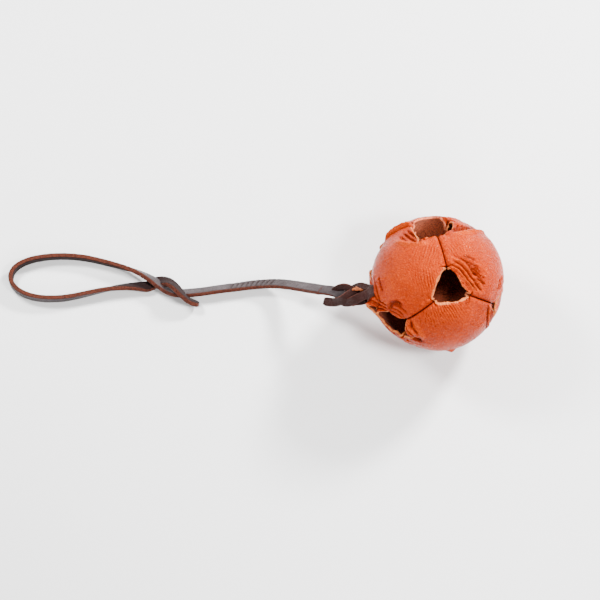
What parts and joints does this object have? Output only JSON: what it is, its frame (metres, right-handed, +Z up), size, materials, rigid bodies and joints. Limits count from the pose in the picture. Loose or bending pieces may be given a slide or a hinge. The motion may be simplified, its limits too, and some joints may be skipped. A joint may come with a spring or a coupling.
{
  "type": "leather activity ball with hand strap",
  "caption": "Hollow ball of octagonal leather panels sewn along short seams, with open three-sided windows and a looped leather hand strap.",
  "frame": {"origin": "on the ground straight below the ball's centre", "axes": "+Z up as the ball lies, -X towards the hand loop, -Y towards the front panel"},
  "size_m": [0.5072, 0.1392, 0.1335],
  "materials": {
    "panel_leather": "smooth pebble-grain full-grain leather, semi-gloss, with raw pale cut edges",
    "waxed_thread": "waxed, matte",
    "strap_leather": "waxy dark harness leather with brown cut edges"
  },
  "bodies": {
    "ball": {"upper_right_panel": "panel_leather", "upper_left_panel": "panel_leather", "front_panel": "panel_leather", "lower_left_panel": "panel_leather", "lower_right_panel": "panel_leather", "back_panel": "panel_leather", "thread_front_lower_left": "waxed_thread", "thread_front_lower_right": "waxed_thread", "thread_lower_left_back": "waxed_thread", "thread_lower_left_lower_right": "waxed_thread", "thread_lower_right_back": "waxed_thread", "thread_upper_left_back": "waxed_thread", "thread_upper_left_front": "waxed_thread", "thread_upper_left_lower_left": "waxed_thread", "thread_upper_right_back": "waxed_thread", "thread_upper_right_front": "waxed_thread", "thread_upper_right_lower_right": "waxed_thread", "thread_upper_right_upper_left": "waxed_thread"},
    "strap": {"strap_hitch": "strap_leather", "strap_run": "strap_leather", "hand_loop": "strap_leather", "strap_tail": "strap_leather"}
  },
  "joints": [
    {"name": "strap_lift", "type": "hinge", "parent": "ball", "child": "strap", "pos_m": [-0.06035, -0.01333, 0.07096], "axis": [-0.2266, 0.9555, -0.189], "range_deg": [-15, 60]}
  ]
}
